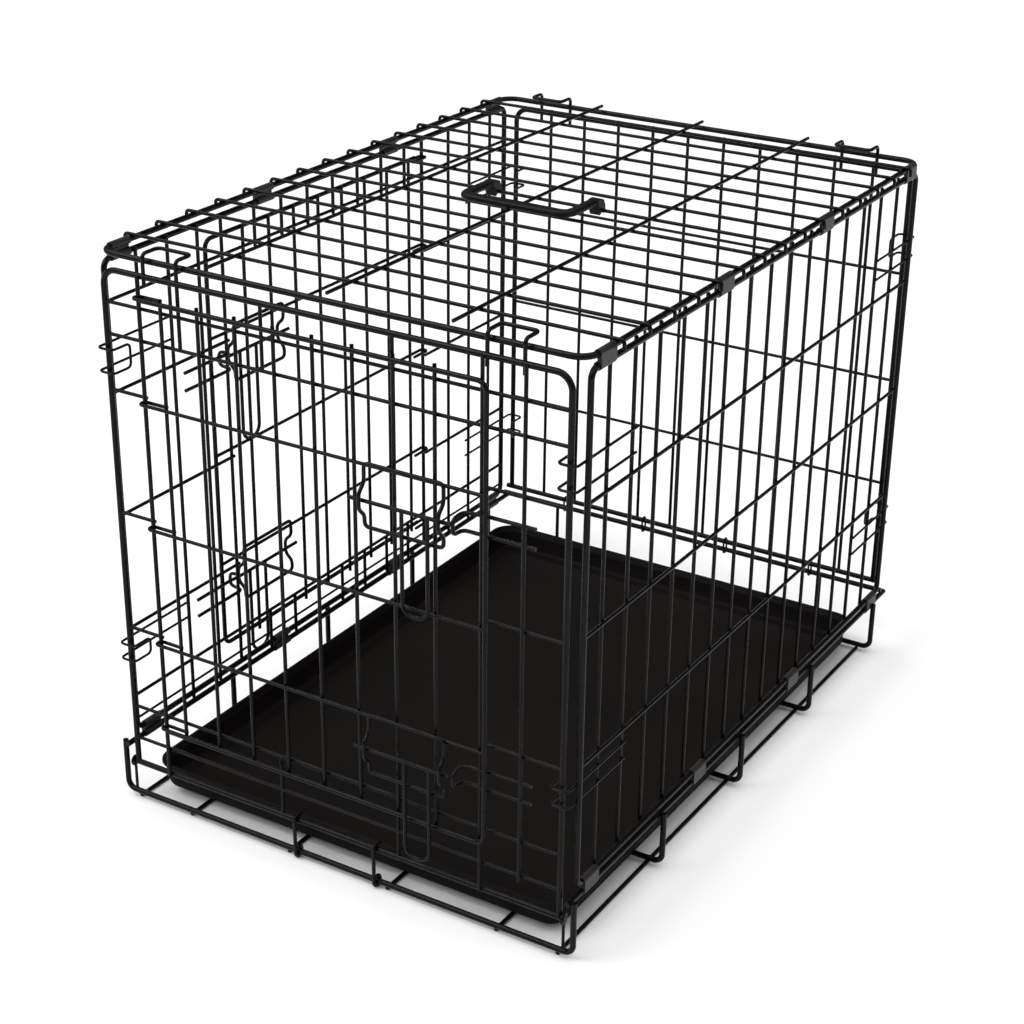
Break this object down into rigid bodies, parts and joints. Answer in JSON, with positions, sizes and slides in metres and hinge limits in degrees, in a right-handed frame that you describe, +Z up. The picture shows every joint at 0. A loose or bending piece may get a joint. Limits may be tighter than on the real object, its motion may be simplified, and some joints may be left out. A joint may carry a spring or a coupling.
{
  "type": "wire dog crate",
  "caption": "Folding wire dog crate with a hinged front door and side door on slide bolts, a slide-out floor tray and a carry handle on top.",
  "frame": {"origin": "centre of the crate's footprint on the floor", "axes": "+Z up, the front door faces -Y, the side door faces -X"},
  "size_m": [0.4676, 0.6496, 0.5114],
  "materials": {
    "black_wire": "semi-gloss black coating over drawn wire",
    "clip_steel": "satin dark grey coating on rolled sheet",
    "tray_plastic": "fine moulded texture",
    "handle_plastic": "satin moulded plastic"
  },
  "bodies": {
    "base": {"base_long_wires": "black_wire", "base_floor_wires": "black_wire", "base_rails": "black_wire", "base_clips": "clip_steel", "front_pivot_rings": "black_wire", "back_link_rings": "black_wire"},
    "tray": {"tray": "tray_plastic"},
    "pan_hook_left": {"pan_hook_left": "black_wire"},
    "pan_hook_right": {"pan_hook_right": "black_wire"},
    "left_side": {"left_frame": "black_wire", "left_verticals": "black_wire", "left_stubs": "black_wire", "left_horizontals": "black_wire", "left_keepers": "black_wire", "left_catches": "black_wire"},
    "right_side": {"right_frame": "black_wire", "right_verticals": "black_wire", "right_horizontals": "black_wire", "right_catches": "black_wire"},
    "top": {"top_frame": "black_wire", "top_cross_wires": "black_wire", "top_long_wires": "black_wire", "top_clips": "clip_steel"},
    "handle": {"handle": "handle_plastic"},
    "front_panel": {"front_frame": "black_wire", "front_verticals": "black_wire", "front_horizontals": "black_wire", "front_staples": "black_wire", "front_keepers": "black_wire", "front_top_hooks": "black_wire"},
    "front_door": {"front_door_frame": "black_wire", "front_door_bars": "black_wire", "front_door_hinges": "black_wire", "front_latch_brackets": "black_wire"},
    "front_upper_bolt": {"front_upper_bolt": "black_wire"},
    "front_lower_bolt": {"front_lower_bolt": "black_wire"},
    "side_door": {"side_door_frame": "black_wire", "side_door_bars": "black_wire", "side_door_hinges": "black_wire", "side_latch_brackets": "black_wire"},
    "side_upper_bolt": {"side_upper_bolt": "black_wire"},
    "side_lower_bolt": {"side_lower_bolt": "black_wire"},
    "back_panel": {"back_frame": "black_wire", "back_verticals": "black_wire", "back_horizontals": "black_wire", "back_top_hooks": "black_wire"}
  },
  "joints": [
    {"name": "left_side_fold", "type": "hinge", "parent": "base", "child": "left_side", "pos_m": [-0.221, 0, 0.061], "axis": [0, -1, 0], "range_deg": [-85, 0], "deforming": ["left_catches"]},
    {"name": "top_fold", "type": "hinge", "parent": "left_side", "child": "top", "pos_m": [-0.221, 0, 0.488], "axis": [0, -1, 0], "range_deg": [0, 85]},
    {"name": "right_side_fold", "type": "hinge", "parent": "base", "child": "right_side", "pos_m": [0.221, 0, 0.061], "axis": [0, -1, 0], "range_deg": [-85, 0], "deforming": ["right_catches"]},
    {"name": "handle_flip", "type": "hinge", "parent": "top", "child": "handle", "pos_m": [0, 0, 0.5007], "axis": [-1, 0, 0], "range_deg": [0, 150]},
    {"name": "front_fold", "type": "hinge", "parent": "base", "child": "front_panel", "pos_m": [0, -0.311, 0.036], "axis": [-1, 0, 0], "range_deg": [0, 84], "deforming": ["front_top_hooks"]},
    {"name": "back_fold", "type": "hinge", "parent": "base", "child": "back_panel", "pos_m": [0, 0.311, 0.066], "axis": [1, 0, 0], "range_deg": [0, 79], "deforming": ["back_top_hooks"]},
    {"name": "front_door_swing", "type": "hinge", "parent": "front_panel", "child": "front_door", "pos_m": [-0.175, -0.314, 0.276], "axis": [0, 0, 1], "range_deg": [-110, 0]},
    {"name": "front_upper_bolt_slide", "type": "slide", "parent": "front_door", "child": "front_upper_bolt", "axis": [1, 0, 0], "range_m": [-0.008, 0.008]},
    {"name": "front_lower_bolt_slide", "type": "slide", "parent": "front_door", "child": "front_lower_bolt", "axis": [1, 0, 0], "range_m": [-0.008, 0.008]},
    {"name": "side_door_swing", "type": "hinge", "parent": "left_side", "child": "side_door", "pos_m": [-0.223, 0.1525, 0.276], "axis": [0, 0, -1], "range_deg": [0, 110]},
    {"name": "side_upper_bolt_slide", "type": "slide", "parent": "side_door", "child": "side_upper_bolt", "axis": [0, -1, 0], "range_m": [-0.008, 0.008]},
    {"name": "side_lower_bolt_slide", "type": "slide", "parent": "side_door", "child": "side_lower_bolt", "axis": [0, -1, 0], "range_m": [-0.008, 0.008]},
    {"name": "tray_slide", "type": "slide", "parent": "base", "child": "tray", "axis": [0, 1, 0], "range_m": [-0.008, 0]},
    {"name": "pan_hook_left_swing", "type": "hinge", "parent": "base", "child": "pan_hook_left", "pos_m": [-0.04, -0.3115, 0.00585], "axis": [-1, 0, 0], "range_deg": [-70, 0]},
    {"name": "pan_hook_right_swing", "type": "hinge", "parent": "base", "child": "pan_hook_right", "pos_m": [0.04, -0.3115, 0.00585], "axis": [-1, 0, 0], "range_deg": [-70, 0]}
  ],
  "couplings": [
    {"joint": "top_fold", "follows": "left_side_fold", "ratio": -1},
    {"joint": "right_side_fold", "follows": "left_side_fold", "ratio": 1}
  ]
}
